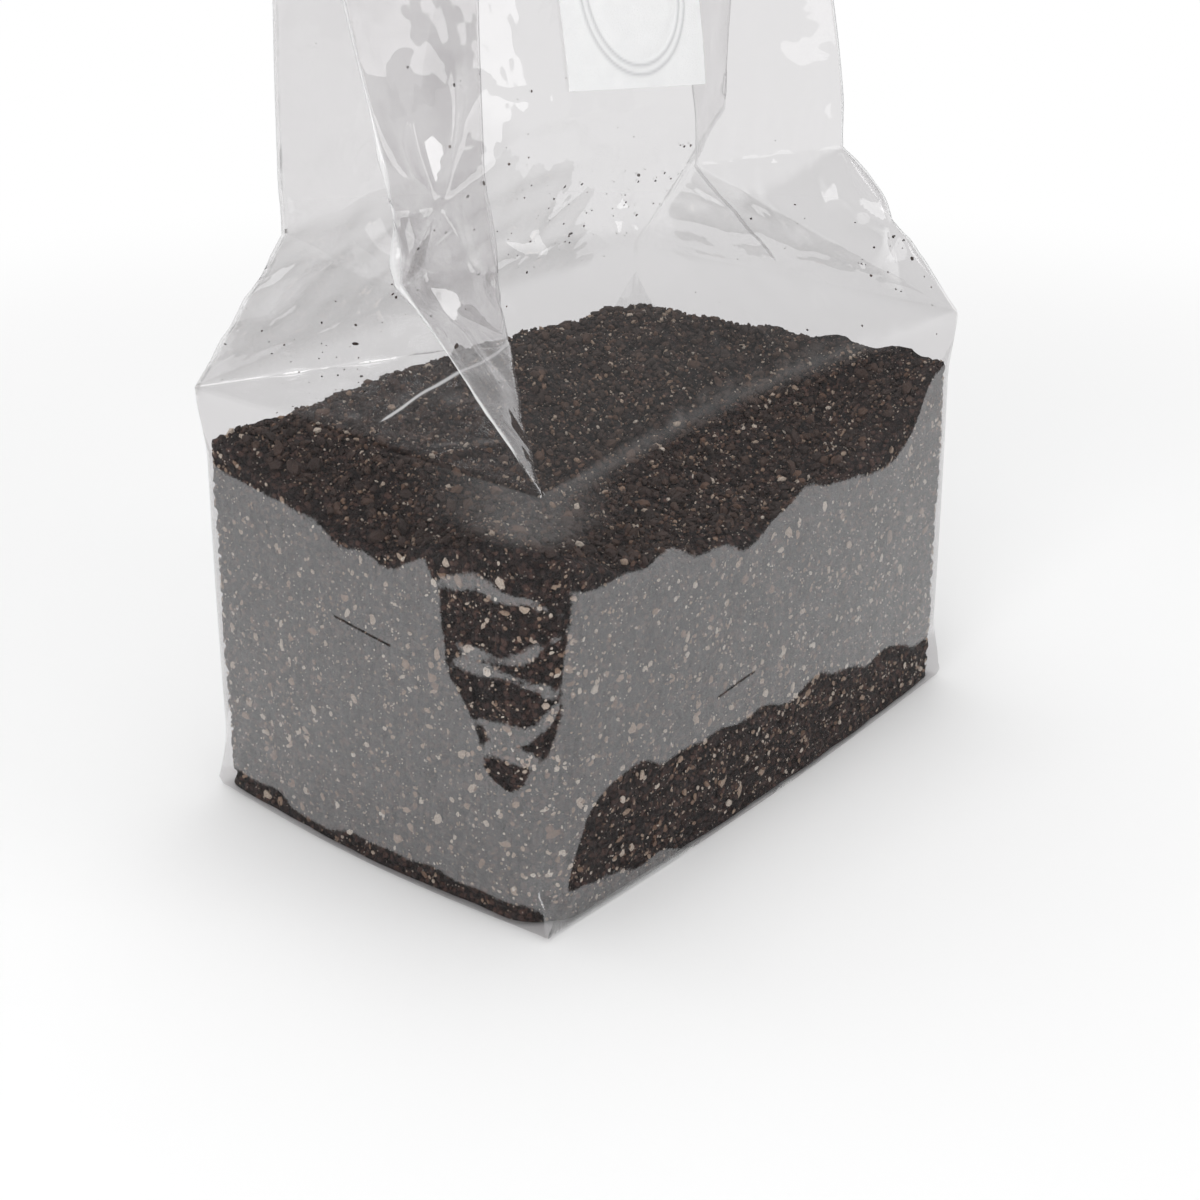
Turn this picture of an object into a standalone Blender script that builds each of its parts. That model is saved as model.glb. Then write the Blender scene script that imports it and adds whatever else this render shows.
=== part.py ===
"""Side-gusseted bag of clear film with a white filter patch, filled with a block of dark substrate.

The bag stands on its filled base. X runs along the front panel, -Y faces the front, +Z is up, and
the origin lies at the middle of the base. A film length is measured up the film from the base edge.
"""

import math

import bmesh
import bpy
from mathutils import Vector, noise

# Driving dimensions of the film tube, in metres
BAG_WIDTH = 0.203
BAG_DEPTH = 0.131
TUBE_LENGTH = 0.483
FILM_WALL = 0.0003
CLEARANCE = 0.0003

# The filled block: upright walls that bulge a little round rounded upright edges
BLOCK_HEIGHT = 0.130
NEAR_CORNER = 0.015
BLOCK_CORNER = 0.006
BASE_EAR_HEIGHT = 0.022
SHOULDER_PINCH = 0.022
BASE_SPREAD = 0.0015
PANEL_BULGE = 0.003
GUSSET_BULGE = 0.004

# The roof, where both panels lean in until the gussets are tucked between them
FRONT_LEFT_SLOPE = math.radians(44)
FRONT_RIGHT_SLOPE = math.radians(45)
BACK_LEFT_SLOPE = math.radians(51)
BACK_RIGHT_SLOPE = math.radians(55)
SOFT_BEND = 0.010

# The gable fold of each gusset: its film leans in up to the tuck point, then stands as a pleat
LEFT_TUCK_SLACK = 0.004
RIGHT_TUCK_SLACK = 0.0005
LEFT_TUCK_SLOPE = math.radians(11)
RIGHT_TUCK_SLOPE = math.radians(44)
RIGHT_TUCK_OFFSET = 0.005
LEFT_PLEAT_DEPTH = 0.059
RIGHT_PLEAT_DEPTH = 0.055
LEFT_PLEAT_OFFSET = 0.005
RIGHT_PLEAT_OFFSET = 0.002
PLEAT_SETTLE = 0.045
PLEAT_WAVE = 0.0015

# The flattened neck and the open mouth
MOUTH_GAP = 0.012
MOUTH_SHIFT = 0.008
NECK_BOW = 0.007
FRONT_LEFT_CLOSING = 0.100
FRONT_RIGHT_CLOSING = 0.125
BACK_CLOSING = 0.180
SOFT_FOLD = 0.0012
SOFT_FOLD_SPACING = 0.058

# The filter patch with its double weld ring
PATCH_WIDTH = 0.058
PATCH_HEIGHT = 0.050
PATCH_THICKNESS = 0.0005
PATCH_OFFSET = -0.003
PATCH_RISE = 0.034
PATCH_TILT = math.radians(6)
WELD_RADIUS = 0.0215
WELD_SPACING = 0.0024
WELD_RELIEF = 0.0003

# The substrate block, as drops of its top below the height at which the panels start to bend
FILL_BACK_DROP = 0.004
FILL_FAR_DROP = 0.005
FILL_FRONT_DROP = 0.030
FILL_CORNER_RISE = 0.027
FILL_LEFT_DIP = 0.015
FILL_DIP_REACH = 0.030
FILL_CORNER_CURVE = 2.5
FILL_RIPPLE = 0.0012
FILL_RIPPLE_SPACING_X = 0.034
FILL_RIPPLE_SPACING_Y = 0.026
FILL_RIPPLE_START_X = 1.0
FILL_RIPPLE_START_Y = 0.5
FILL_EDGE_DROP = 0.003

# Its clumps, with hollows between them: deep on the loose top, shallow where the film presses
CLUMP_SPACING = 0.019
TOP_HOLLOW = 0.0030
WALL_HOLLOW = 0.0014

# How finely the sheets are divided, from each corner to the middle of a side
CORNER_STEPS = 3
PANEL_STEPS = 5
TUCK_STEPS = 5
NECK_STEPS = 15
WALL_STEPS = (0.0, 0.03, 0.08, 0.19, 0.4, 0.62, 0.83, 0.93, 1.0)
FILL_PANEL_STEPS = 12
FILL_TUCK_STEPS = 7
FILL_WALL_ROWS = 15
PATCH_RING_STEPS = 32
PATCH_SLOPE_REACH = 0.0029
BEND_TAPS = (-1.0, -0.5, 0.0, 0.5, 1.0)

# Lengths that follow from the driving dimensions
PLEAT = BAG_DEPTH / 2
ROOF_LENGTH = PLEAT
NECK_LENGTH = TUBE_LENGTH - 2 * PLEAT - BLOCK_HEIGHT
MEAN_RISE = ROOF_LENGTH * (math.sin(FRONT_LEFT_SLOPE) + math.sin(BACK_LEFT_SLOPE)) / 2
MOUTH_HEIGHT = BLOCK_HEIGHT + MEAN_RISE + NECK_LENGTH

# Each side of the bag: its length, the way along it (anticlockwise from above), and the way out
SIDES = {
    "front": (BAG_WIDTH, Vector((1, 0, 0)), Vector((0, -1, 0))),
    "right": (BAG_DEPTH, Vector((0, 1, 0)), Vector((1, 0, 0))),
    "back": (BAG_WIDTH, Vector((-1, 0, 0)), Vector((0, 1, 0))),
    "left": (BAG_DEPTH, Vector((0, -1, 0)), Vector((-1, 0, 0))),
}
# Each panel's two edges: the slope of the roof, and the climb over which the neck closes
PANEL_EDGES = {
    "front": ((FRONT_LEFT_SLOPE, FRONT_LEFT_CLOSING), (FRONT_RIGHT_SLOPE, FRONT_RIGHT_CLOSING)),
    "back": ((BACK_RIGHT_SLOPE, BACK_CLOSING), (BACK_LEFT_SLOPE, BACK_CLOSING)),
}
MOUTH_INSETS = {
    "front": BAG_DEPTH / 2 + MOUTH_SHIFT - MOUTH_GAP / 2,
    "back": BAG_DEPTH / 2 - MOUTH_SHIFT - MOUTH_GAP / 2,
}
# Each gusset: its way out along X, the film length and slope of its tuck, and where the tuck and pleat lie
GUSSETS = {
    "left": (-1, PLEAT - LEFT_TUCK_SLACK, LEFT_TUCK_SLOPE, 0.0, LEFT_PLEAT_DEPTH, LEFT_PLEAT_OFFSET),
    "right": (
        1, PLEAT - RIGHT_TUCK_SLACK, RIGHT_TUCK_SLOPE,
        RIGHT_TUCK_OFFSET, RIGHT_PLEAT_DEPTH, RIGHT_PLEAT_OFFSET,
    ),
}


def mix(a, b, part):
    return a + (b - a) * part


def smooth(part):
    part = min(max(part, 0.0), 1.0)
    return part * part * (3 - 2 * part)


def pinched(length):
    """Share of the upright edges' radius: none at the base ears and at the pinched shoulders."""
    return smooth(length / BASE_EAR_HEIGHT) * smooth((BLOCK_HEIGHT - length) / SHOULDER_PINCH)


def wall_point(side, part, height, inset, opened):
    """Point on the upright wall of one side, moved in by inset; part runs from 0 to 1 along it."""
    full, along_way, out_way = SIDES[side]
    near = (side == "front" and part < 0.5) or (side == "left" and part > 0.5)
    corner = (NEAR_CORNER if near else BLOCK_CORNER) * opened
    across = BAG_WIDTH + BAG_DEPTH - full
    length = full - 2 * inset
    along = part * length
    to_corner = min(along, length - along)
    pull = 0.0
    if to_corner < corner:
        angle = (1 - to_corner / corner) * math.pi / 4
        pull = corner * (1 - math.cos(angle))
        to_corner = corner * (1 - math.sin(angle))
        along = to_corner if part < 0.5 else length - to_corner
    bulge = PANEL_BULGE if side in PANEL_EDGES else GUSSET_BULGE
    slump = 1 - min(max(height / BLOCK_HEIGHT, 0.0), 1.0) ** 2
    bulge *= math.sin(math.pi * along / length) * slump
    spread = BASE_SPREAD * slump
    out = across / 2 + spread - inset + bulge - pull
    along = (along - length / 2) * (1 + 2 * spread / length)
    return out_way * out + along_way * along + Vector((0, 0, height))


def edge_profile(side, end, length):
    """Inset from the wall, and height, of one edge of a panel at a film length."""
    slope, closing = PANEL_EDGES[side][end]
    climb = length - BLOCK_HEIGHT
    if climb <= 0:
        return 0.0, length
    if climb <= ROOF_LENGTH:
        return climb * math.cos(slope), BLOCK_HEIGHT + climb * math.sin(slope)
    part = (climb - ROOF_LENGTH) / NECK_LENGTH
    foot_inset = ROOF_LENGTH * math.cos(slope)
    foot_height = BLOCK_HEIGHT + ROOF_LENGTH * math.sin(slope)
    closed = smooth((climb - ROOF_LENGTH) / closing)
    return mix(foot_inset, MOUTH_INSETS[side], closed), mix(foot_height, MOUTH_HEIGHT, part)


def panel_point(side, part, length):
    """Point on the outer face of the front or back panel."""
    full, _, out_way = SIDES[side]
    arch = math.sin(math.pi * part)
    top = BLOCK_HEIGHT + ROOF_LENGTH + NECK_LENGTH
    reach = min(SOFT_BEND * arch, length, top - length)
    inset = height = 0.0
    for tap in BEND_TAPS:
        at = length + tap * reach
        first = edge_profile(side, 0, at)
        last = edge_profile(side, 1, at)
        inset += mix(first[0], last[0], part) / len(BEND_TAPS)
        height += mix(first[1], last[1], part) / len(BEND_TAPS)
    neck = smooth((length - BLOCK_HEIGHT) / (2 * ROOF_LENGTH))
    bow = NECK_BOW * arch * neck
    fold = SOFT_FOLD * neck * math.sin(2 * math.pi * part * full / SOFT_FOLD_SPACING)
    beside_patch = smooth(abs(part - 0.5) * full / PATCH_WIDTH - 0.5)
    bow += fold * arch * beside_patch
    point = wall_point(side, part, min(length, BLOCK_HEIGHT), 0.0, pinched(length))
    point += out_way * (bow - inset)
    point.z = height
    return point


def gusset_point(side, part, length):
    """Point on the outer face of a gusset: upright wall, then gable fold, then pleat."""
    if length <= BLOCK_HEIGHT:
        return wall_point(side, part, length, 0.0, pinched(length))
    way, tuck, slope, tuck_offset, depth, offset = GUSSETS[side]
    from_front = BAG_DEPTH * (part if side == "right" else 1 - part)
    from_back = BAG_DEPTH - from_front
    climb = length - BLOCK_HEIGHT
    front_edge = panel_point("front", 0.0 if way < 0 else 1.0, length)
    back_edge = panel_point("back", 1.0 if way < 0 else 0.0, length)
    wall = way * BAG_WIDTH / 2
    tuck_in = tuck * math.cos(slope)
    tuck_up = tuck * math.sin(slope)
    tuck_point = Vector((wall - way * tuck_in, tuck_offset, BLOCK_HEIGHT + tuck_up))
    if climb < PLEAT:
        share = climb / PLEAT
        front_crease = mix(Vector((wall, -BAG_DEPTH / 2, BLOCK_HEIGHT)), tuck_point, share)
        back_crease = mix(Vector((wall, BAG_DEPTH / 2, BLOCK_HEIGHT)), tuck_point, share)
        if from_front <= climb:
            return mix(front_edge, front_crease, from_front / climb)
        if from_back <= climb:
            return mix(back_edge, back_crease, from_back / climb)
        return mix(front_crease, back_crease, (from_front - climb) / (BAG_DEPTH - 2 * climb))
    part_up = (climb - PLEAT) / NECK_LENGTH
    settled = smooth((climb - PLEAT) / PLEAT_SETTLE)
    inner = Vector((
        wall - way * mix(tuck_in, depth, settled),
        mix(tuck_offset, mix(offset, MOUTH_SHIFT, part_up), settled),
        mix(tuck_point.z, MOUTH_HEIGHT, part_up),
    ))
    edge, from_edge = (front_edge, from_front) if from_front <= PLEAT else (back_edge, from_back)
    share = from_edge / PLEAT
    point = mix(edge, inner, share)
    point.y += PLEAT_WAVE * settled * math.sin(2 * math.pi * share) * (1 - share)
    return point


def film_point(side, part, length):
    return (panel_point if side in PANEL_EDGES else gusset_point)(side, part, length)


def half_stations(half, steps):
    """Distances from a corner to the middle of a side: close ones at the corner, then even ones."""
    corner = min(NEAR_CORNER, half / 2)
    near = [corner * i / CORNER_STEPS for i in range(CORNER_STEPS)]
    far = [mix(corner, half, i / steps) for i in range(steps + 1)]
    return near + far


def side_stations(panel_steps, tuck_steps):
    """Every column round the bag, as its side and its part along that side."""
    columns = []
    for side, (full, _, _) in SIDES.items():
        half = half_stations(full / 2, panel_steps if side in PANEL_EDGES else tuck_steps)
        stations = half + [full - at for at in reversed(half[:-1])]
        columns += [(side, at / full) for at in stations[:-1]]
    return columns


def add_strip(mesh, lower, upper, crosses):
    """Faces between two rings. Where crosses says so, a pair of triangles follows the gable crease."""
    count = len(lower)
    for i in range(count):
        j = (i + 1) % count
        a, b, c, d = lower[i], lower[j], upper[j], upper[i]
        crease = crosses(i)
        if crease == "rising":
            mesh.faces.new((a, b, c))
            mesh.faces.new((a, c, d))
        elif crease == "falling":
            mesh.faces.new((a, b, d))
            mesh.faces.new((b, c, d))
        else:
            mesh.faces.new((a, b, c, d))


def film_sheet():
    """The whole film as one sheet: base, walls, roof with its gable folds, and neck."""
    columns = side_stations(PANEL_STEPS, TUCK_STEPS)
    climbs = half_stations(PLEAT, TUCK_STEPS)
    lengths = [BLOCK_HEIGHT * step for step in WALL_STEPS]
    lengths += [BLOCK_HEIGHT + climb for climb in climbs[1:]]
    lengths += [BLOCK_HEIGHT + PLEAT + NECK_LENGTH * (i + 1) / NECK_STEPS for i in range(NECK_STEPS)]
    mesh = bmesh.new()
    rings = [[mesh.verts.new(film_point(*column, length)) for column in columns] for length in lengths]
    first_gable_row = len(WALL_STEPS) - 1

    def crease_in(row):
        """Which face column the gable creases cross between this row and the next."""
        step = row - first_gable_row
        if not 0 <= step < len(climbs) - 1:
            return lambda column: None
        low, high = climbs[step], climbs[step + 1]
        middle = (low + high) / 2

        def crosses(column):
            side, part = columns[column]
            following, next_part = columns[(column + 1) % len(columns)]
            if side in PANEL_EDGES:
                return None
            end = next_part if following == side else 1.0
            along = (part + end) / 2 * BAG_DEPTH
            if abs(along - middle) < (high - low) / 4:
                return "rising"
            if abs(BAG_DEPTH - along - middle) < (high - low) / 4:
                return "falling"
            return None

        return crosses

    for row in range(len(rings) - 1):
        add_strip(mesh, rings[row], rings[row + 1], crease_in(row))
    mesh.faces.new(list(reversed(rings[0])))
    return mesh


def fill_height(x, y):
    """Height of the substrate's top: high at the back, lower along the front and the left wall."""
    back = smooth((y + BAG_DEPTH / 2) / BAG_DEPTH)
    to_side = min(abs(2 * x) / BAG_WIDTH, 1.0)
    front_drop = FILL_FRONT_DROP - FILL_CORNER_RISE * to_side**FILL_CORNER_CURVE
    back_drop = FILL_BACK_DROP + FILL_FAR_DROP * smooth(2 * x / BAG_WIDTH)
    drop = mix(front_drop, back_drop, back)
    from_left = (x + BAG_WIDTH / 2) / FILL_DIP_REACH
    drop += FILL_LEFT_DIP * (1 - smooth(from_left)) * math.sin(math.pi * back)
    ripple = math.sin(2 * math.pi * x / FILL_RIPPLE_SPACING_X + FILL_RIPPLE_START_X)
    ripple *= math.sin(2 * math.pi * y / FILL_RIPPLE_SPACING_Y + FILL_RIPPLE_START_Y)
    return BLOCK_HEIGHT - SOFT_BEND - drop + FILL_RIPPLE * ripple


def clump_hollow(point):
    """Share of a hollow at a point: none in the middle of a clump, up to one where clumps meet."""
    return min(noise.voronoi(point / CLUMP_SPACING)[0][0], 1.0) ** 2


def add_fill_top(mesh, columns, rim):
    """Faces over the open top, as a grid drawn between the four sides of the rim."""
    across = 2 * (CORNER_STEPS + FILL_PANEL_STEPS)
    deep = 2 * (CORNER_STEPS + FILL_TUCK_STEPS)
    front = rim[: across + 1]
    right = rim[across : across + deep + 1]
    back = rim[across + deep : 2 * across + deep + 1][::-1]
    left = (rim[2 * across + deep :] + rim[:1])[::-1]
    grid = [front]
    for j in range(1, deep):
        v = columns[across + j][1]
        row = [left[j]]
        for i in range(1, across):
            u = columns[i][1]
            point = mix(front[i].co, back[i].co, v) + mix(left[j].co, right[j].co, u)
            point -= mix(mix(front[0].co, front[-1].co, u), mix(back[0].co, back[-1].co, u), v)
            point.z = fill_height(point.x, point.y)
            point.z -= TOP_HOLLOW * clump_hollow(point)
            row.append(mesh.verts.new(point))
        grid.append(row + [right[j]])
    grid.append(back)
    for lower, upper in zip(grid, grid[1:]):
        for i in range(across):
            mesh.faces.new((lower[i], lower[i + 1], upper[i + 1], upper[i]))


def fill_block():
    """The substrate as one closed body inside the film: walls pressed by it, and a loose top."""
    columns = side_stations(FILL_PANEL_STEPS, FILL_TUCK_STEPS)
    inset = FILM_WALL + CLEARANCE
    mesh = bmesh.new()
    rings = []
    for row in range(FILL_WALL_ROWS + 1):
        ring = []
        for side, part in columns:
            foot = wall_point(side, part, 0.0, inset, 1.0)
            rim = fill_height(foot.x, foot.y) - FILL_EDGE_DROP
            height = mix(inset, rim, row / FILL_WALL_ROWS)
            hollow = WALL_HOLLOW * clump_hollow(wall_point(side, part, height, inset, 1.0))
            ring.append(mesh.verts.new(wall_point(side, part, height, inset + hollow, 1.0)))
        rings.append(ring)
    for lower, upper in zip(rings, rings[1:]):
        add_strip(mesh, lower, upper, lambda column: None)
    add_fill_top(mesh, columns, rings[-1])
    mesh.faces.new(list(reversed(rings[0])))
    return mesh


def patch_frame(across, up):
    """Point on the front panel at a place of the patch, and the way out of the panel there."""
    bottom = BLOCK_HEIGHT + ROOF_LENGTH + PATCH_RISE
    turned_across = across * math.cos(PATCH_TILT) + up * math.sin(PATCH_TILT)
    turned_up = up * math.cos(PATCH_TILT) - across * math.sin(PATCH_TILT)
    part = 0.5 + (PATCH_OFFSET + turned_across) / BAG_WIDTH
    length = bottom + PATCH_HEIGHT / 2 + turned_up
    point = panel_point("front", part, length)
    sideways = panel_point("front", part + PATCH_SLOPE_REACH / BAG_WIDTH, length) - point
    upward = panel_point("front", part, length + PATCH_SLOPE_REACH) - point
    return point, sideways.cross(upward).normalized()


def patch_plate():
    """The patch as rings from its middle out to its square edge, with two raised weld rings."""
    ridge = WELD_SPACING / 4
    radii = [0.0, WELD_RADIUS / 2]
    for weld in (WELD_RADIUS - WELD_SPACING, WELD_RADIUS):
        radii += [weld - ridge, weld, weld + ridge]
    crests = (3, 6)
    mesh = bmesh.new()
    fronts, backs = [], []
    for ring, radius in enumerate(radii + [None, None]):
        front_ring, back_ring = [], []
        for i in range(PATCH_RING_STEPS):
            angle = 2 * math.pi * i / PATCH_RING_STEPS
            way_x, way_y = math.cos(angle), math.sin(angle)
            to_edge = min(
                PATCH_WIDTH / 2 / max(abs(way_x), 1e-9), PATCH_HEIGHT / 2 / max(abs(way_y), 1e-9)
            )
            reach = radius
            if radius is None:
                share = 0.5 if ring == len(radii) else 1.0
                reach = mix(radii[-1], to_edge, share)
            point, out = patch_frame(way_x * reach, way_y * reach)
            relief = WELD_RELIEF if ring in crests else 0.0
            front_ring.append(point + out * (CLEARANCE + PATCH_THICKNESS + relief))
            back_ring.append(point + out * CLEARANCE)
            if ring == 0:
                break
        fronts.append([mesh.verts.new(point) for point in front_ring])
        backs.append([mesh.verts.new(point) for point in back_ring])
    for rings, outward in ((fronts, True), (backs, False)):
        hub = rings[0][0]
        for i in range(PATCH_RING_STEPS):
            j = (i + 1) % PATCH_RING_STEPS
            faces = [(hub, rings[1][i], rings[1][j])]
            for inner, outer in zip(rings[1:], rings[2:]):
                faces.append((inner[i], outer[i], outer[j], inner[j]))
            for face in faces:
                mesh.faces.new(face if outward else tuple(reversed(face)))
    for i in range(PATCH_RING_STEPS):
        j = (i + 1) % PATCH_RING_STEPS
        mesh.faces.new((fronts[-1][i], backs[-1][i], backs[-1][j], fronts[-1][j]))
    return mesh


def finish(name, color, roughness, alpha=1.0, transmission=0.0):
    """Plain finish of one piece."""
    material = bpy.data.materials.new(name)
    material.use_nodes = True
    shader = material.node_tree.nodes["Principled BSDF"]
    shader.inputs["Base Color"].default_value = (*color, 1.0)
    shader.inputs["Roughness"].default_value = roughness
    shader.inputs["Alpha"].default_value = alpha
    shader.inputs["Transmission Weight"].default_value = transmission
    return material


def add_object(name, bm, material, sharp_angle):
    mesh = bpy.data.meshes.new(name)
    bm.to_mesh(mesh)
    bm.free()
    mesh.materials.append(material)
    mesh.shade_smooth()
    mesh.set_sharp_from_angle(angle=sharp_angle)
    piece = bpy.data.objects.new(name, mesh)
    bpy.context.scene.collection.objects.link(piece)
    return piece


def make_bag_film():
    clear = finish("clear_polypropylene", (0.82, 0.83, 0.85), 0.08, alpha=0.35, transmission=0.6)
    film = add_object("bag_film", film_sheet(), clear, math.radians(40))
    wall = film.modifiers.new("wall", "SOLIDIFY")
    wall.thickness = FILM_WALL
    wall.offset = -1
    return film


def make_filter_patch():
    white = finish("white_filter_membrane", (0.86, 0.86, 0.85), 0.7)
    return add_object("filter_patch", patch_plate(), white, math.radians(50))


def make_substrate_fill():
    dark = finish("moist_dark_substrate", (0.028, 0.021, 0.018), 0.85)
    return add_object("substrate_fill", fill_block(), dark, math.radians(50))


for old in list(bpy.data.objects):
    bpy.data.objects.remove(old, do_unlink=True)
make_bag_film()
make_filter_patch()
make_substrate_fill()
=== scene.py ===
import math
import random

import bpy
import numpy as np
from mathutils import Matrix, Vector, noise


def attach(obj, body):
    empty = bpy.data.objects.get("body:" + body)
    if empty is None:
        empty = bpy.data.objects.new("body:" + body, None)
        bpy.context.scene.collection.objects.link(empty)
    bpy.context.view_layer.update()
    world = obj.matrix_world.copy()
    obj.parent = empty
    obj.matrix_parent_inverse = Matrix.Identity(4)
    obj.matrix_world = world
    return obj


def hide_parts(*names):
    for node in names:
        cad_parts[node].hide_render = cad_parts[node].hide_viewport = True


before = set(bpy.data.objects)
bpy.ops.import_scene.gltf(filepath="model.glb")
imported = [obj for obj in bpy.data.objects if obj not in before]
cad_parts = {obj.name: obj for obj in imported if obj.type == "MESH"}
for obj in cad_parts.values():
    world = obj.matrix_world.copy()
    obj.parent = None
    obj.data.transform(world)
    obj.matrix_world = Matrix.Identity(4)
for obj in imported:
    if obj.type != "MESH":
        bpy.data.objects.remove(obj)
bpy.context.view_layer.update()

# The bag film: one seamless tube of thin clear polypropylene with a gusset folded into each side.
# It is sealed across its base and opened out by the filling, and above the filling its gussets
# fold in and lie as pleats between the two panels, up to the plain cut mouth.
BAG_WIDTH = 0.203
BAG_DEPTH = 0.131
TUBE_LENGTH = 0.483
BLOCK_HEIGHT = 0.130
NEAR_CORNER = 0.015
BLOCK_CORNER = 0.006
BASE_EAR_HEIGHT = 0.022
SHOULDER_PINCH = 0.022
BASE_SPREAD = 0.0015
PANEL_BULGE = 0.003
GUSSET_BULGE = 0.004
FRONT_LEFT_SLOPE = math.radians(44)
FRONT_RIGHT_SLOPE = math.radians(45)
BACK_LEFT_SLOPE = math.radians(51)
BACK_RIGHT_SLOPE = math.radians(55)
SOFT_BEND = 0.010
PLEAT_SETTLE = 0.045
PLEAT_WAVE = 0.0015
MOUTH_GAP = 0.012
MOUTH_SHIFT = 0.008
NECK_BOW = 0.007
FRONT_LEFT_CLOSING = 0.100
FRONT_RIGHT_CLOSING = 0.125
BACK_CLOSING = 0.180
SOFT_FOLD = 0.0012
SOFT_FOLD_SPACING = 0.058
PLEAT = BAG_DEPTH / 2
NECK_LENGTH = TUBE_LENGTH - 2 * PLEAT - BLOCK_HEIGHT
MEAN_RISE = PLEAT * (math.sin(FRONT_LEFT_SLOPE) + math.sin(BACK_LEFT_SLOPE)) / 2
MOUTH_HEIGHT = BLOCK_HEIGHT + MEAN_RISE + NECK_LENGTH
ROUND_THE_BAG = 2 * (BAG_WIDTH + BAG_DEPTH)

# Each side, anticlockwise from above: its length, the way along it and the way out of it
SIDES = {
    "front": (BAG_WIDTH, np.array((1.0, 0, 0)), np.array((0, -1.0, 0))),
    "right": (BAG_DEPTH, np.array((0, 1.0, 0)), np.array((1.0, 0, 0))),
    "back": (BAG_WIDTH, np.array((-1.0, 0, 0)), np.array((0, 1.0, 0))),
    "left": (BAG_DEPTH, np.array((0, -1.0, 0)), np.array((-1.0, 0, 0))),
}
SIDE_START = {"front": 0.0, "right": BAG_WIDTH, "back": BAG_WIDTH + BAG_DEPTH, "left": 2 * BAG_WIDTH + BAG_DEPTH}
PANEL_EDGES = {
    "front": ((FRONT_LEFT_SLOPE, FRONT_LEFT_CLOSING), (FRONT_RIGHT_SLOPE, FRONT_RIGHT_CLOSING)),
    "back": ((BACK_RIGHT_SLOPE, BACK_CLOSING), (BACK_LEFT_SLOPE, BACK_CLOSING)),
}
MOUTH_INSETS = {
    "front": BAG_DEPTH / 2 + MOUTH_SHIFT - MOUTH_GAP / 2,
    "back": BAG_DEPTH / 2 - MOUTH_SHIFT - MOUTH_GAP / 2,
}
# Each gusset: its way out, its tuck's film length, slope and offset, its pleat's depth and offset
GUSSETS = {
    "left": (-1, PLEAT - 0.004, math.radians(11), 0.0, 0.059, 0.005),
    "right": (1, PLEAT - 0.0005, math.radians(44), 0.005, 0.055, 0.002),
}
PATCH_WIDTH = 0.058
PATCH_HEIGHT = 0.050
PATCH_OFFSET = -0.003
PATCH_RISE = 0.034
PATCH_TILT = math.radians(6)
PATCH_MIDDLE = BLOCK_HEIGHT + PLEAT + PATCH_RISE + PATCH_HEIGHT / 2


def mix(a, b, share):
    return a + (b - a) * share


def smooth(share):
    share = np.clip(share, 0.0, 1.0)
    return share * share * (3 - 2 * share)


def wall_point(side, part, height, opened, inset=0.0):
    """Points on the upright wall of one side, moved in by inset; part runs from 0 to 1 along it."""
    full, along_way, out_way = SIDES[side]
    part, height, opened = np.broadcast_arrays(part, height, opened)
    near = (part < 0.5) if side == "front" else (part > 0.5) & (side == "left")
    corner = np.maximum(np.where(near, NEAR_CORNER, BLOCK_CORNER) * opened, 1e-9)
    length = full - 2 * inset
    to_corner = length * np.minimum(part, 1 - part)
    turn = np.clip(1 - to_corner / corner, 0, 1) * math.pi / 4
    pull = corner * (1 - np.cos(turn))
    to_corner = np.where(turn > 0, corner * (1 - np.sin(turn)), to_corner)
    along = np.where(part < 0.5, to_corner, length - to_corner)
    slump = 1 - np.clip(height / BLOCK_HEIGHT, 0, 1) ** 2
    bulge = (PANEL_BULGE if side in PANEL_EDGES else GUSSET_BULGE) * np.sin(math.pi * along / length)
    spread = BASE_SPREAD * slump
    out = (BAG_WIDTH + BAG_DEPTH - full) / 2 + spread - inset + bulge * slump - pull
    along = (along - length / 2) * (1 + 2 * spread / length)
    point = out[..., None] * out_way + along[..., None] * along_way
    point[..., 2] = height
    return point


def edge_profile(side, end, length):
    """Inset from the wall, and height, of one edge of a panel."""
    slope, closing = PANEL_EDGES[side][end]
    climb = length - BLOCK_HEIGHT
    foot_inset = PLEAT * math.cos(slope)
    foot_height = BLOCK_HEIGHT + PLEAT * math.sin(slope)
    neck_inset = mix(foot_inset, MOUTH_INSETS[side], smooth((climb - PLEAT) / closing))
    neck_height = mix(foot_height, MOUTH_HEIGHT, (climb - PLEAT) / NECK_LENGTH)
    inset = np.where(climb <= 0, 0, np.where(climb <= PLEAT, climb * math.cos(slope), neck_inset))
    roof_height = BLOCK_HEIGHT + climb * math.sin(slope)
    return inset, np.where(climb <= 0, length, np.where(climb <= PLEAT, roof_height, neck_height))


def pinched(length):
    return smooth(length / BASE_EAR_HEIGHT) * smooth((BLOCK_HEIGHT - length) / SHOULDER_PINCH)


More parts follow.
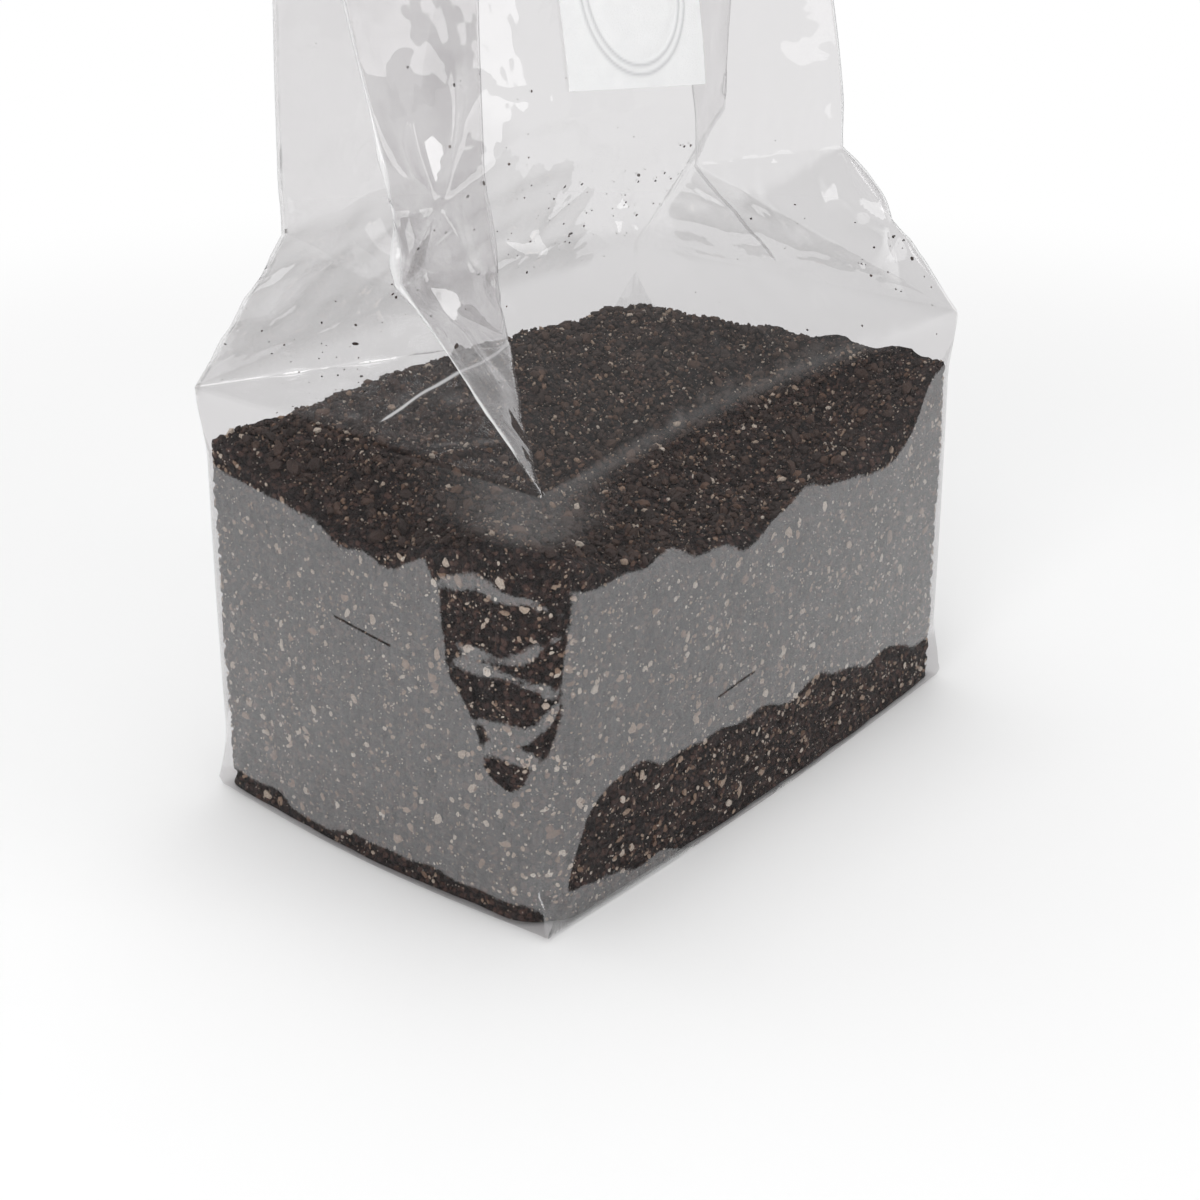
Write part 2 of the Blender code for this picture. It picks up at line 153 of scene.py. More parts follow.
def panel_point(side, part, length):
    """Points on the front or back panel."""
    part, length = np.broadcast_arrays(np.asarray(part, float), np.asarray(length, float))
    full, _, out_way = SIDES[side]
    arch = np.sin(math.pi * part)
    top = BLOCK_HEIGHT + PLEAT + NECK_LENGTH
    reach = np.minimum(np.minimum(SOFT_BEND * arch, length), np.maximum(top - length, 0))
    inset = height = 0.0
    for tap in (-1.0, -0.5, 0.0, 0.5, 1.0):
        first = edge_profile(side, 0, length + tap * reach)
        last = edge_profile(side, 1, length + tap * reach)
        inset = inset + mix(first[0], last[0], part) / 5
        height = height + mix(first[1], last[1], part) / 5
    neck = smooth((length - BLOCK_HEIGHT) / (2 * PLEAT))
    fold = SOFT_FOLD * neck * np.sin(2 * math.pi * part * full / SOFT_FOLD_SPACING)
    beside_patch = smooth(np.abs(part - 0.5) * full / PATCH_WIDTH - 0.5)
    bow = NECK_BOW * arch * neck + fold * arch * beside_patch
    point = wall_point(side, part, np.minimum(length, BLOCK_HEIGHT), pinched(length))
    point = point + (bow - inset)[..., None] * out_way
    point[..., 2] = height
    return point


def gusset_point(side, part, length):
    """Points on a gusset: upright wall, then gable fold, then pleat."""
    part, length = np.broadcast_arrays(part, length)
    way, tuck, slope, tuck_offset, depth, offset = GUSSETS[side]
    climb = length - BLOCK_HEIGHT
    from_front = BAG_DEPTH * (part if side == "right" else 1 - part)
    from_back = BAG_DEPTH - from_front
    front_edge = panel_point("front", 0.0 if way < 0 else 1.0, length)
    back_edge = panel_point("back", 1.0 if way < 0 else 0.0, length)
    wall = way * BAG_WIDTH / 2
    tuck_in, tuck_up = tuck * math.cos(slope), tuck * math.sin(slope)
    tuck_point = np.array((wall - way * tuck_in, tuck_offset, BLOCK_HEIGHT + tuck_up))
    share = np.clip(climb / PLEAT, 0, 1)[..., None]
    front_crease = mix(np.array((wall, -BAG_DEPTH / 2, BLOCK_HEIGHT)), tuck_point, share)
    back_crease = mix(np.array((wall, BAG_DEPTH / 2, BLOCK_HEIGHT)), tuck_point, share)
    safe = np.maximum(climb, 1e-9)
    between = np.clip((from_front - climb) / np.maximum(BAG_DEPTH - 2 * climb, 1e-9), 0, 1)
    gable = mix(front_crease, back_crease, between[..., None])
    by_front = mix(front_edge, front_crease, np.clip(from_front / safe, 0, 1)[..., None])
    by_back = mix(back_edge, back_crease, np.clip(from_back / safe, 0, 1)[..., None])
    gable = np.where((from_back <= climb)[..., None], by_back, gable)
    gable = np.where((from_front <= climb)[..., None], by_front, gable)
    part_up = (climb - PLEAT) / NECK_LENGTH
    settled = smooth((climb - PLEAT) / PLEAT_SETTLE)
    inner = np.stack((
        wall - way * mix(tuck_in, depth, settled),
        mix(tuck_offset, mix(offset, MOUTH_SHIFT, part_up), settled),
        mix(tuck_point[2], MOUTH_HEIGHT, part_up),
    ), axis=-1)
    in_front = from_front <= PLEAT
    share = np.where(in_front, from_front, from_back) / PLEAT
    pleat = mix(np.where(in_front[..., None], front_edge, back_edge), inner, share[..., None])
    pleat[..., 1] += PLEAT_WAVE * settled * np.sin(2 * math.pi * share) * (1 - share)
    upright = wall_point(side, part, np.minimum(length, BLOCK_HEIGHT), pinched(length))
    folded = np.where((climb < PLEAT)[..., None], gable, pleat)
    return np.where((climb <= 0)[..., None], upright, folded)


FRONT_COLUMNS = 150
BACK_COLUMNS = 64
PLEAT_COLUMNS = 48
WALL_ROWS = 58
NECK_ROWS = 110
neck_steps = np.linspace(0, 1, NECK_ROWS + 1)[1:]

column_side, column_part = [], []
for side, steps in (("front", FRONT_COLUMNS), ("right", 2 * PLEAT_COLUMNS), ("back", BACK_COLUMNS), ("left", 2 * PLEAT_COLUMNS)):
    column_side += [side] * steps
    column_part += [i / steps for i in range(steps)]
column_side, column_part = np.array(column_side), np.array(column_part)
row_length = np.concatenate((
    np.linspace(0, BLOCK_HEIGHT, WALL_ROWS + 1),
    BLOCK_HEIGHT + np.linspace(0, PLEAT, PLEAT_COLUMNS + 1)[1:],
    BLOCK_HEIGHT + PLEAT + NECK_LENGTH * neck_steps * (0.6 + 0.4 * neck_steps),
))
film_round = np.array([SIDE_START[s] + p * SIDES[s][0] for s, p in zip(column_side, column_part)])[None, :]
film_up = row_length[:, None]
film = np.zeros((len(row_length), len(column_part), 3))
for side in SIDES:
    there = column_side == side
    shape = panel_point if side in PANEL_EDGES else gusset_point
    film[:, there] = shape(side, column_part[there][None, :], row_length[:, None])


def outward(sheet):
    """The way out of the sheet at each of its points; its columns close into a ring."""
    across = np.roll(sheet, -1, axis=1) - np.roll(sheet, 1, axis=1)
    up = np.gradient(sheet, axis=0)
    way = np.cross(across, up)
    return way / np.maximum(np.linalg.norm(way, axis=-1, keepdims=True), 1e-12)


film_out = outward(film)


def round_from(start):
    """Distance round the film from a place, the short way."""
    return (film_round - start + ROUND_THE_BAG / 2) % ROUND_THE_BAG - ROUND_THE_BAG / 2


def crease(start, end, width, height):
    """A sharp ridge along a straight line on the flat film, that runs out at both ends."""
    across, up = round_from(start[0]), film_up - start[1]
    run = np.array(((end[0] - start[0] + ROUND_THE_BAG / 2) % ROUND_THE_BAG - ROUND_THE_BAG / 2, end[1] - start[1]))
    along = np.clip((across * run[0] + up * run[1]) / (run @ run), 0, 1)
    away = np.hypot(across - along * run[0], up - along * run[1])
    return height * np.clip(1 - away / width, 0, 1) * np.sqrt(np.sin(math.pi * np.clip(along, 0.001, 0.999)))


def crumple_star(middle, reach, height, rays):
    """Flat facets round a point where the film has buckled: rays are (degrees, rise) pairs."""
    across, up = round_from(middle[0]), film_up - middle[1]
    away = np.hypot(across, up)
    turn = np.degrees(np.arctan2(up, across)) % 360
    rise = np.interp(turn, [r[0] for r in rays], [r[1] for r in rays], period=360)
    return height * rise * 4 * (away / reach) * np.clip(1 - away / reach, 0, 1)


def tent_wave(phase):
    return 4 * np.abs((phase % 1) - 0.5) - 1


LEFT_END = ROUND_THE_BAG
wrinkle = np.zeros(film.shape[:2])
# The buckled star where the front panel leaves its left edge, and the facets of the two shoulders: the
# middle, reach and height of each, then its rays as (degrees, rise) pairs
BUCKLED_STARS = (
    ((0.0155, 0.212), 0.038, 0.0033, (
        (20, 0.5), (50, -0.6), (68, 1.0), (92, -0.8), (140, 0.7),
        (175, -0.5), (215, 0.8), (255, -0.7), (290, 0.9), (330, -0.5),
    )),
    ((-0.078, 0.205), 0.034, 0.0034, (
        (10, 0.4), (60, -0.4), (110, 0.6), (150, -0.7), (185, 0.9), (225, -0.6), (260, 0.5), (310, -0.5),
    )),
    ((BAG_WIDTH - 0.004, 0.165), 0.030, 0.0028, (
        (20, -0.4), (80, 0.7), (130, -0.6), (200, 0.8), (240, -0.5), (300, 0.6),
    )),
)
for star_middle, reach, height, rays in BUCKLED_STARS:
    wrinkle += crumple_star(star_middle, reach, height, rays)
# Long soft creases of the neck and short ones of the roof, drawn by a fixed seed
draw = random.Random(12)
for _ in range(46):
    start = (draw.uniform(0, ROUND_THE_BAG), draw.uniform(0.17, 0.40))
    turn = draw.uniform(-0.5, 0.5) + math.pi / 2
    run = draw.uniform(0.03, 0.10)
    end = (start[0] + run * math.cos(turn), start[1] + run * math.sin(turn))
    wrinkle += crease(start, end, draw.uniform(0.006, 0.014), draw.uniform(-0.0004, 0.0004))
for _ in range(12):
    start = (draw.uniform(-0.3, 0.3), draw.uniform(0.135, 0.23))
    turn = draw.uniform(0.2, math.pi - 0.2)
    run = draw.uniform(0.015, 0.045)
    end = (start[0] + run * math.cos(turn), start[1] + run * math.sin(turn))
    wrinkle += crease(start, end, 0.006, draw.choice((-0.0006, 0.0006)))
for _ in range(60):
    start = (draw.uniform(0, ROUND_THE_BAG), draw.uniform(0.118, 0.20))
    turn = draw.uniform(0, math.pi)
    run = draw.uniform(0.008, 0.035)
    end = (start[0] + run * math.cos(turn), start[1] + run * math.sin(turn))
    wrinkle += crease(start, end, draw.uniform(0.002, 0.006), draw.uniform(-0.0006, 0.0006))
roof = smooth((film_up - 0.135) / 0.02) * (1 - 0.8 * smooth((film_up - 0.19) / 0.05))
for _ in range(7):
    turn = draw.uniform(0, math.pi)
    spacing = draw.uniform(0.018, 0.045)
    phase = (film_round * math.cos(turn) + film_up * math.sin(turn)) / spacing
    phase = phase + 0.35 * np.sin(film_up / 0.017 + draw.uniform(0, 6)) + 0.3 * np.sin(film_round / 0.019 + draw.uniform(0, 6))
    wrinkle += 0.00022 * roof * tent_wave(phase + draw.random())
# Fan of short streaks at each base ear
for corner in (0.0, BAG_WIDTH, BAG_WIDTH + BAG_DEPTH, 2 * BAG_WIDTH + BAG_DEPTH):
    for _ in range(14):
        turn = draw.uniform(0.15, math.pi - 0.15)
        run = draw.uniform(0.010, 0.030)
        start = (corner, 0.001)
        end = (corner + run * math.cos(turn), 0.001 + run * math.sin(turn))
        wrinkle += crease(start, end, draw.uniform(0.0015, 0.003), draw.uniform(0.0002, 0.0006))

across_patch = np.abs(film_round - BAG_WIDTH / 2 - PATCH_OFFSET) - PATCH_WIDTH / 2
up_patch = np.abs(film_up - PATCH_MIDDLE) - PATCH_HEIGHT / 2
clear_of_patch = smooth((np.maximum(across_patch, up_patch) - 0.004) / 0.012)
wrinkle *= clear_of_patch
on_wall = 1 - smooth((film_up - 0.112) / 0.012)
wrinkle = np.where(on_wall > 0, mix(wrinkle, np.maximum(wrinkle, -0.0001), on_wall), wrinkle)
wrinkle *= 1 - 0.8 * smooth((film_up - 0.20) / 0.02) * np.exp(-np.abs(np.array([
    min(abs(r - c) for c in (0, BAG_WIDTH, BAG_WIDTH + BAG_DEPTH, 2 * BAG_WIDTH + BAG_DEPTH, ROUND_THE_BAG))
    for r in film_round[0]
]))[None, :] / 0.003)
film = film + film_out * wrinkle[..., None]
film[..., 2] = np.maximum(film[..., 2], 0.0)
film_out = outward(film)

# Places on the flat film, in millimetres round from the near corner and up from the base edge
flat_round = round_from(0.0) * 1000 + 0 * film_up
flat_up = film_up * 1000 + 0 * film_round

# Droplets mist the film where it lies on the filling, and the same grey veil is painted reflection of the pale studio
# in those walls. The mist ends below the top of the filling, lower in the middle of a side than at its corners, and
# just above the base.
CLEAR_AT_CORNERS = 12
CLEAR_IN_MIDDLE = {"front": 38, "right": 32, "back": 35, "left": 29}
CLEAR_AT_FOOT = {"front": 0, "right": 18, "back": 22, "left": 7}
CLEAR_WAVE = 4
CLEAR_WAVE_SPACING = 75
CLEAR_WAVE_START = 120
RUN_SPACING = 17
RUN_BEND = 5
# Water doesn't run straight: every edge of the mist is bent by smooth uneven steps, drawn in place
on_film = film.reshape(-1, 3) * 1000 / RUN_SPACING
bends = np.array([noise.noise_vector(Vector(place)) for place in on_film]).reshape(film.shape)
bent_round = flat_round + RUN_BEND * bends[..., 0]
bent_up = flat_up + RUN_BEND * bends[..., 2]
mist_and_painted_reflection = np.zeros(film.shape[:2])
for side in SIDES:
    there = column_side == side
    to_middle = 1 - np.abs(2 * column_part[there] - 1) ** 5
    wave = np.cos(2 * math.pi * (flat_round[0, there] - CLEAR_WAVE_START) / CLEAR_WAVE_SPACING)
    above = BLOCK_HEIGHT * 1000 - mix(CLEAR_AT_CORNERS, CLEAR_IN_MIDDLE[side], to_middle) + CLEAR_WAVE * wave
    mist_and_painted_reflection[:, there] = np.minimum(above - bent_up[:, there], bent_up[:, there] - CLEAR_AT_FOOT[side])

# Water has run down the near corner and washed a tongue of it clear, and a low strip of the front; the painted
# reflection is left out there too
TONGUE_FOOT = 42
TONGUE_TOP = 112
TONGUE_HALF_WIDTH = 27
TONGUE_MIDDLE = -9
TONGUE_LEAN = -6
STRIP_HEIGHT = 38
STRIP_START = 5
STRIP_ROUNDING = 6
FOOT_MIST = 20
FOOT_MIST_REACH = 38
share_up = np.clip((bent_up - TONGUE_FOOT) / (TONGUE_TOP - TONGUE_FOOT), 0, 1)
half_width = TONGUE_HALF_WIDTH * share_up**0.45
from_middle = bent_round - TONGUE_MIDDLE - TONGUE_LEAN * share_up
mist_and_painted_reflection = np.minimum(mist_and_painted_reflection, -np.minimum(half_width - np.abs(from_middle), bent_up - TONGUE_FOOT))
share_along = np.clip(flat_round / (BAG_WIDTH * 1000), 0, 1)
rounding = 1 - np.exp(-np.maximum(flat_round - STRIP_START, 0) / STRIP_ROUNDING)
strip = STRIP_HEIGHT * rounding * (1 - 0.55 * share_along**2)
foot_mist = FOOT_MIST * np.exp(-np.maximum(flat_round, 0) / FOOT_MIST_REACH) - 3
on_front = (flat_round > 0) & (flat_round < BAG_WIDTH * 1000)
mist_and_painted_reflection = np.where(on_front, np.maximum(np.minimum(mist_and_painted_reflection, bent_up - strip), foot_mist - bent_up), mist_and_painted_reflection)

# Slack film holds bands of droplets across the tongue, bowed up and down by turns; their grey is partly painted
# reflection
BANDS = 5
BAND_HALF_WIDTH = 2.3
BAND_BOW = 6
BAND_TILT = 4
for i in range(BANDS):
    height = mix(TONGUE_FOOT + 9, TONGUE_TOP - 16, i / (BANDS - 1))
    across = from_middle / np.maximum(half_width, 1)
    roundness = np.sqrt(np.clip(1 - across**2, 0, 1))
    line = height + BAND_BOW * (-1) ** i * (roundness - 0.5) + BAND_TILT * math.sin(2.4 * i) * across
    band = BAND_HALF_WIDTH * roundness * (0.9 + bends[..., 1]) - np.abs(bent_up - line)
    mist_and_painted_reflection = np.maximum(mist_and_painted_reflection, np.where(np.abs(across) < 1, band, -6))
ragged = np.sin(film_round / 0.0061 + 2 * np.sin(film_up / 0.0083))
ragged = ragged + np.sin(film_up / 0.0047 + 2 * np.sin(film_round / 0.0052))
mist_and_painted_reflection = np.clip(mist_and_painted_reflection + 0.45 * ragged, -6, 6)

# The six upright folds of the neck: two edges of each panel and the inner edge of each pleat
FOLDS = (0.0, BAG_WIDTH, BAG_WIDTH + BAG_DEPTH / 2, BAG_WIDTH + BAG_DEPTH, -BAG_DEPTH, -BAG_DEPTH / 2)
from_fold = np.min([np.abs(round_from(fold)) for fold in FOLDS], axis=0) * 1000
from_fold = from_fold + 3 * (1 - smooth((flat_up - 132) / 12))
# Film touches the filling on the walls, up to the bend of the panels, but not at the pinched near corner
arch = np.concatenate([np.sin(math.pi * column_part[column_side == side]) for side in SIDES])[None, :]
contact_top = BLOCK_HEIGHT + SOFT_BEND * 0.5 * arch
contact = smooth((contact_top - film_up) / 0.006)
near_shoulder = np.exp(-((round_from(-0.006) / 0.022) ** 2)) * smooth((film_up - 0.112) / 0.006)
contact = contact * (1 - near_shoulder)

rows, columns = film.shape[:2]
faces = []
for j in range(rows - 1):
    for i in range(columns):
        k = (i + 1) % columns
        a, b, c, d = j * columns + i, j * columns + k, (j + 1) * columns + k, (j + 1) * columns + i
        step = j - WALL_ROWS
        at = i - FRONT_COLUMNS if column_side[i] == "right" else i - FRONT_COLUMNS - 2 * PLEAT_COLUMNS - BACK_COLUMNS
        folded = column_side[i] in ("right", "left") and 0 <= step < PLEAT_COLUMNS
        if folded and at == step:
            faces += [(a, b, c), (a, c, d)]
        elif folded and 2 * PLEAT_COLUMNS - 1 - at == step:
            faces += [(a, b, d), (b, c, d)]
        else:
            faces.append((a, b, c, d))
points = film.reshape(-1, 3).tolist()
BASE_RINGS = 6
ring = list(range(columns))
for level in range(1, BASE_RINGS):
    inner = []
    for i in range(columns):
        x, y, _ = film[0, i] * (1 - level / BASE_RINGS)
        inner.append(len(points))
        points.append((x, y, 0.0))
    for i in range(columns):
        k = (i + 1) % columns
        faces.append((ring[k], ring[i], inner[i], inner[k]))
    ring = inner
middle = len(points)
points.append((0, 0, 0))
for i in range(columns):
    faces.append((ring[(i + 1) % columns], ring[i], middle))
film_mesh = bpy.data.meshes.new("bag_film_fine")
film_mesh.from_pydata(points, [], faces)
film_mesh.shade_smooth()
base_points = len(points) - mist_and_painted_reflection.size
for name, values, at_base in (("mist_and_painted_reflection", mist_and_painted_reflection, -6.0), ("contact", contact, 1.0), ("from_fold", from_fold, 6.0)):
    mark = film_mesh.attributes.new(name, "FLOAT", "POINT")
    mark.data.foreach_set("value", np.concatenate((values.ravel(), np.full(base_points, at_base))).astype(np.float32))
# The place on the flat film at each face corner, so that it also runs on across the back corner
corner_points = np.zeros(len(film_mesh.loops), np.int64)
film_mesh.loops.foreach_get("vertex_index", corner_points)
face_starts = np.zeros(len(film_mesh.polygons), np.int64)
film_mesh.polygons.foreach_get("loop_start", face_starts)
corner_round = np.concatenate((flat_round.ravel(), np.zeros(base_points)))[corner_points]
corner_up = np.concatenate((flat_up.ravel(), np.full(base_points, -20.0)))[corner_points]
widest = np.maximum.reduceat(corner_round, face_starts) - np.minimum.reduceat(corner_round, face_starts)
corners_in = np.diff(np.append(face_starts, len(corner_round)))
corner_round = corner_round + ROUND_THE_BAG * 1000 * ((np.repeat(widest, corners_in) > 400) & (corner_round < 0))
mark = film_mesh.attributes.new("flat_place", "FLOAT_VECTOR", "CORNER")
places = np.stack((corner_round, corner_up, np.zeros(len(corner_round))), axis=1)
mark.data.foreach_set("vector", places.ravel().astype(np.float32))


def new_material(name):
    """An empty node material and a way to add nodes to it."""
    material = bpy.data.materials.new(name)
    material.use_nodes = True
    tree = material.node_tree
    tree.nodes.clear()

    def add(kind, inputs=(), **settings):
        node = tree.nodes.new(kind)
        for key, value in settings.items():
            setattr(node, key, value)
        for key, value in dict(inputs).items():
            if isinstance(value, bpy.types.NodeSocket):
                tree.links.new(value, node.inputs[key])
            else:
                node.inputs[key].default_value = value
        return node

    return material, add


clear_film, add = new_material("clear_polypropylene")
place = add("ShaderNodeNewGeometry").outputs["Position"]
flat_place = add("ShaderNodeAttribute", attribute_name="flat_place").outputs["Vector"]


def drawn_lines(lines, half_width):
    """Share of fine lines drawn on the flat film: each runs through its places, in millimetres."""
    nearest = None
    for line in lines:
        for start, end in zip(line, line[1:]):
            run = (end[0] - start[0], end[1] - start[1], 0)
            square = run[0] ** 2 + run[1] ** 2
            way = tuple(step / square for step in run)
            back = tuple(-step for step in run)
            from_start = add("ShaderNodeVectorMath", {0: flat_place, 1: (*start, 0)}, operation="SUBTRACT").outputs[0]
            along = add("ShaderNodeVectorMath", {0: from_start, 1: way}, operation="DOT_PRODUCT").outputs["Value"]
            along = add("ShaderNodeClamp", {"Value": along}).outputs[0]
            away = add("ShaderNodeVectorMath", {0: along, 1: back, 2: from_start}, operation="MULTIPLY_ADD").outputs[0]
            away = add("ShaderNodeVectorMath", {0: away}, operation="LENGTH").outputs["Value"]
            if nearest is not None:
                away = add("ShaderNodeMath", {0: nearest, 1: away}, operation="MINIMUM").outputs[0]
            nearest = away
    return add("ShaderNodeMapRange", {
        "Value": nearest, "From Min": half_width * 0.5, "From Max": half_width * 1.3, "To Min": 1.0, "To Max": 0.0,
    }, interpolation_type="SMOOTHSTEP").outputs[0]


mottle = add("ShaderNodeTexNoise", {"Vector": place, "Scale": 900.0, "Detail": 1.0}).outputs["Fac"]
shift = add("ShaderNodeMath", {0: mottle, 1: 0.5}, operation="SUBTRACT").outputs[0]
edge = add("ShaderNodeAttribute", attribute_name="mist_and_painted_reflection").outputs["Fac"]
edge = add("ShaderNodeMath", {0: shift, 1: 2.0, 2: edge}, operation="MULTIPLY_ADD").outputs[0]
mist_and_reflection_share = add("ShaderNodeMapRange", {"Value": edge, "From Min": -0.45, "From Max": 0.45}).outputs[0]
# Fine roots in the filling press the droplets away, at places drawn by the fixed seed
pressed_roots = []
for _ in range(2):
    start = (draw.uniform(-120, 190), draw.uniform(45, 80))
    bend = (start[0] + draw.uniform(5, 12), start[1] + draw.uniform(-2, 2))
    end = (bend[0] + draw.uniform(5, 12), bend[1] + draw.uniform(-2, 2))
    pressed_roots.append((start, bend, end))
pressed = drawn_lines(pressed_roots, 0.4)
pressed = add("ShaderNodeMath", {0: 1.0, 1: pressed}, operation="SUBTRACT").outputs[0]
mist_and_reflection_share = add("ShaderNodeMath", {0: mist_and_reflection_share, 1: pressed}, operation="MULTIPLY").outputs[0]
walls = add("ShaderNodeAttribute", attribute_name="contact").outputs["Fac"]
wetted = add("ShaderNodeMath", {0: 1.0, 1: mist_and_reflection_share}, operation="SUBTRACT").outputs[0]
wetted = add("ShaderNodeMath", {0: wetted, 1: walls}, operation="MULTIPLY").outputs[0]
creased = add("ShaderNodeTexNoise", {"Vector": place, "Scale": 55.0, "Detail": 2.0, "Roughness": 0.6}).outputs["Fac"]
creased = add("ShaderNodeBump", {"Height": creased, "Strength": 0.18, "Distance": 0.004}).outputs["Normal"]
edge_on = add("ShaderNodeLayerWeight", {"Blend": 0.5, "Normal": creased}).outputs["Facing"]
edge_on = add("ShaderNodeMath", {0: edge_on, 1: 4.0}, operation="POWER").outputs[0]
gloss = add("ShaderNodeMapRange", {"Value": edge_on, "To Min": 0.08, "To Max": 0.90}).outputs[0]
dulled = add("ShaderNodeMapRange", {"Value": wetted, "To Min": 1.0, "To Max": 0.12}).outputs[0]
gloss = add("ShaderNodeMath", {0: gloss, 1: dulled}, operation="MULTIPLY").outputs[0]
through = add("ShaderNodeBsdfTransparent", {"Color": (0.862, 0.855, 0.858, 1)}).outputs[0]
shine = add("ShaderNodeBsdfAnisotropic", {"Color": (1, 1, 1, 1), "Roughness": 0.04, "Normal": creased}).outputs[0]
body = add("ShaderNodeMixShader", {0: gloss, 1: through, 2: shine}).outputs[0]
# Droplets dry in faint upright runs. The veil is a pale diffuse layer over the walls: partly droplet mist, partly
# painted reflection of the pale studio
streaks = add("ShaderNodeVectorMath", {0: flat_place, 1: (1.3, 0.12, 0)}, operation="MULTIPLY").outputs[0]
streaks = add("ShaderNodeTexNoise", {"Vector": streaks, "Scale": 1.0, "Detail": 1.0}).outputs["Fac"]
runs = add("ShaderNodeMapRange", {
    "Value": streaks, "From Min": 0.3, "From Max": 0.7, "To Min": 0.060, "To Max": 0.110,
}).outputs[0]
droplet_and_reflection_white = add("ShaderNodeBsdfDiffuse", {"Color": (0.82, 0.82, 0.83, 1)}).outputs[0]
mist_and_reflection_veil = add("ShaderNodeMath", {0: mist_and_reflection_share, 1: runs}, operation="MULTIPLY").outputs[0]
mist_and_reflection_veil = add("ShaderNodeMath", {0: mist_and_reflection_veil, 1: walls}, operation="MULTIPLY").outputs[0]
body = add("ShaderNodeMixShader", {0: mist_and_reflection_veil, 1: body, 2: droplet_and_reflection_white}).outputs[0]
# Painted highlight along the sharp folds, partly the real milky whitening of creased film: a thin diffuse white line
fold = add("ShaderNodeAttribute", attribute_name="from_fold").outputs["Fac"]
fold_highlight_share = add("ShaderNodeMapRange", {
    "Value": fold, "From Min": 0.25, "From Max": 1.2, "To Min": 0.6, "To Max": 0.0,
}).outputs[0]
fold_highlight_white = add("ShaderNodeBsdfDiffuse", {"Color": (0.93, 0.93, 0.935, 1)}).outputs[0]
body = add("ShaderNodeMixShader", {0: fold_highlight_share, 1: body, 2: fold_highlight_white}).outputs[0]
add("ShaderNodeOutputMaterial", {"Surface": body})
film_mesh.materials.append(clear_film)
bag_film = bpy.data.objects.new("clear_film", film_mesh)
bpy.context.scene.collection.objects.link(bag_film)
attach(bag_film, "root")
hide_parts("bag_film")

# The filter patch: a small white sheet of microporous membrane, which lets the contents breathe.
# It is heat welded over a hole in the front panel, and the weld shows as two fine raised rings.
PATCH_LIFT = 0.0004
PATCH_THICKNESS = 0.0004
WELD_RADIUS = 0.0215
WELD_SPACING = 0.0024
WELD_WIDTH = 0.0005
WELD_RELIEF = 0.0004
PATCH_STEP = 0.0006

patch_across = np.linspace(-0.5, 0.5, int(PATCH_WIDTH / PATCH_STEP) + 1)[None, :] * PATCH_WIDTH
patch_up = np.linspace(-0.5, 0.5, int(PATCH_HEIGHT / PATCH_STEP) + 1)[:, None] * PATCH_HEIGHT
turned_across = patch_across * math.cos(PATCH_TILT) + patch_up * math.sin(PATCH_TILT)
turned_up = patch_up * math.cos(PATCH_TILT) - patch_across * math.sin(PATCH_TILT)
patch = panel_point("front", 0.5 + (PATCH_OFFSET + turned_across) / BAG_WIDTH, PATCH_MIDDLE + turned_up)
patch_out = np.cross(np.gradient(patch, axis=1), np.gradient(patch, axis=0))
patch_out /= np.linalg.norm(patch_out, axis=-1, keepdims=True)
away = np.hypot(patch_across, patch_up)
relief = 0.0
for radius in (WELD_RADIUS, WELD_RADIUS - WELD_SPACING):
    relief = relief + WELD_RELIEF * np.exp(-(((away - radius) / WELD_WIDTH) ** 2))
weld = np.clip(relief / WELD_RELIEF, 0, 1)
relief = relief + 0.0003 * smooth((WELD_RADIUS - WELD_SPACING - 0.001 - away) / 0.004)
front_face = patch + patch_out * (PATCH_LIFT + PATCH_THICKNESS + relief)[..., None]
back_face = patch + patch_out * PATCH_LIFT
high, wide = away.shape
points = np.concatenate((front_face.reshape(-1, 3), back_face.reshape(-1, 3))).tolist()
faces = []
for j in range(high - 1):
    for i in range(wide - 1):
        a, b = j * wide + i, j * wide + i + 1
        c, d = b + wide, a + wide
        faces += [(a, b, c, d), (d + high * wide, c + high * wide, b + high * wide, a + high * wide)]
rim = list(range(wide)) + [j * wide + wide - 1 for j in range(1, high)]
rim += [(high - 1) * wide + i for i in range(wide - 2, -1, -1)] + [j * wide for j in range(high - 2, 0, -1)]
for a, b in zip(rim, rim[1:] + rim[:1]):
    faces.append((b, a, a + high * wide, b + high * wide))
patch_mesh = bpy.data.meshes.new("filter_patch_fine")
patch_mesh.from_pydata(points, [], faces)
patch_mesh.shade_smooth()
patch_mesh.set_sharp_from_angle(angle=math.radians(50))
mark = patch_mesh.attributes.new("weld", "FLOAT", "POINT")
mark.data.foreach_set("value", np.concatenate((weld.ravel(), weld.ravel())).astype(np.float32))
membrane, add = new_material("microporous_membrane")
place = add("ShaderNodeNewGeometry").outputs["Position"]
fibres = add("ShaderNodeTexNoise", {"Vector": place, "Scale": 1400.0, "Detail": 5.0, "Roughness": 0.7}).outputs["Fac"]
cloudy = add("ShaderNodeTexNoise", {"Vector": place, "Scale": 160.0, "Detail": 3.0}).outputs["Fac"]
tint = add("ShaderNodeMix", {"Factor": cloudy, "A": (0.80, 0.80, 0.805, 1), "B": (0.87, 0.87, 0.87, 1)}, data_type="RGBA")
tint = [s for s in tint.outputs if s.type == "RGBA"][0]
pressed = add("ShaderNodeAttribute", attribute_name="weld").outputs["Fac"]
tint = add("ShaderNodeMix", {"Factor": pressed, "A": tint, "B": (0.60, 0.60, 0.61, 1)}, data_type="RGBA")
tint = [s for s in tint.outputs if s.type == "RGBA"][0]
rough = add("ShaderNodeMapRange", {"Value": fibres, "To Min": 0.55, "To Max": 0.85}).outputs[0]
nap = add("ShaderNodeBump", {"Height": fibres, "Strength": 0.35, "Distance": 0.0006}).outputs["Normal"]
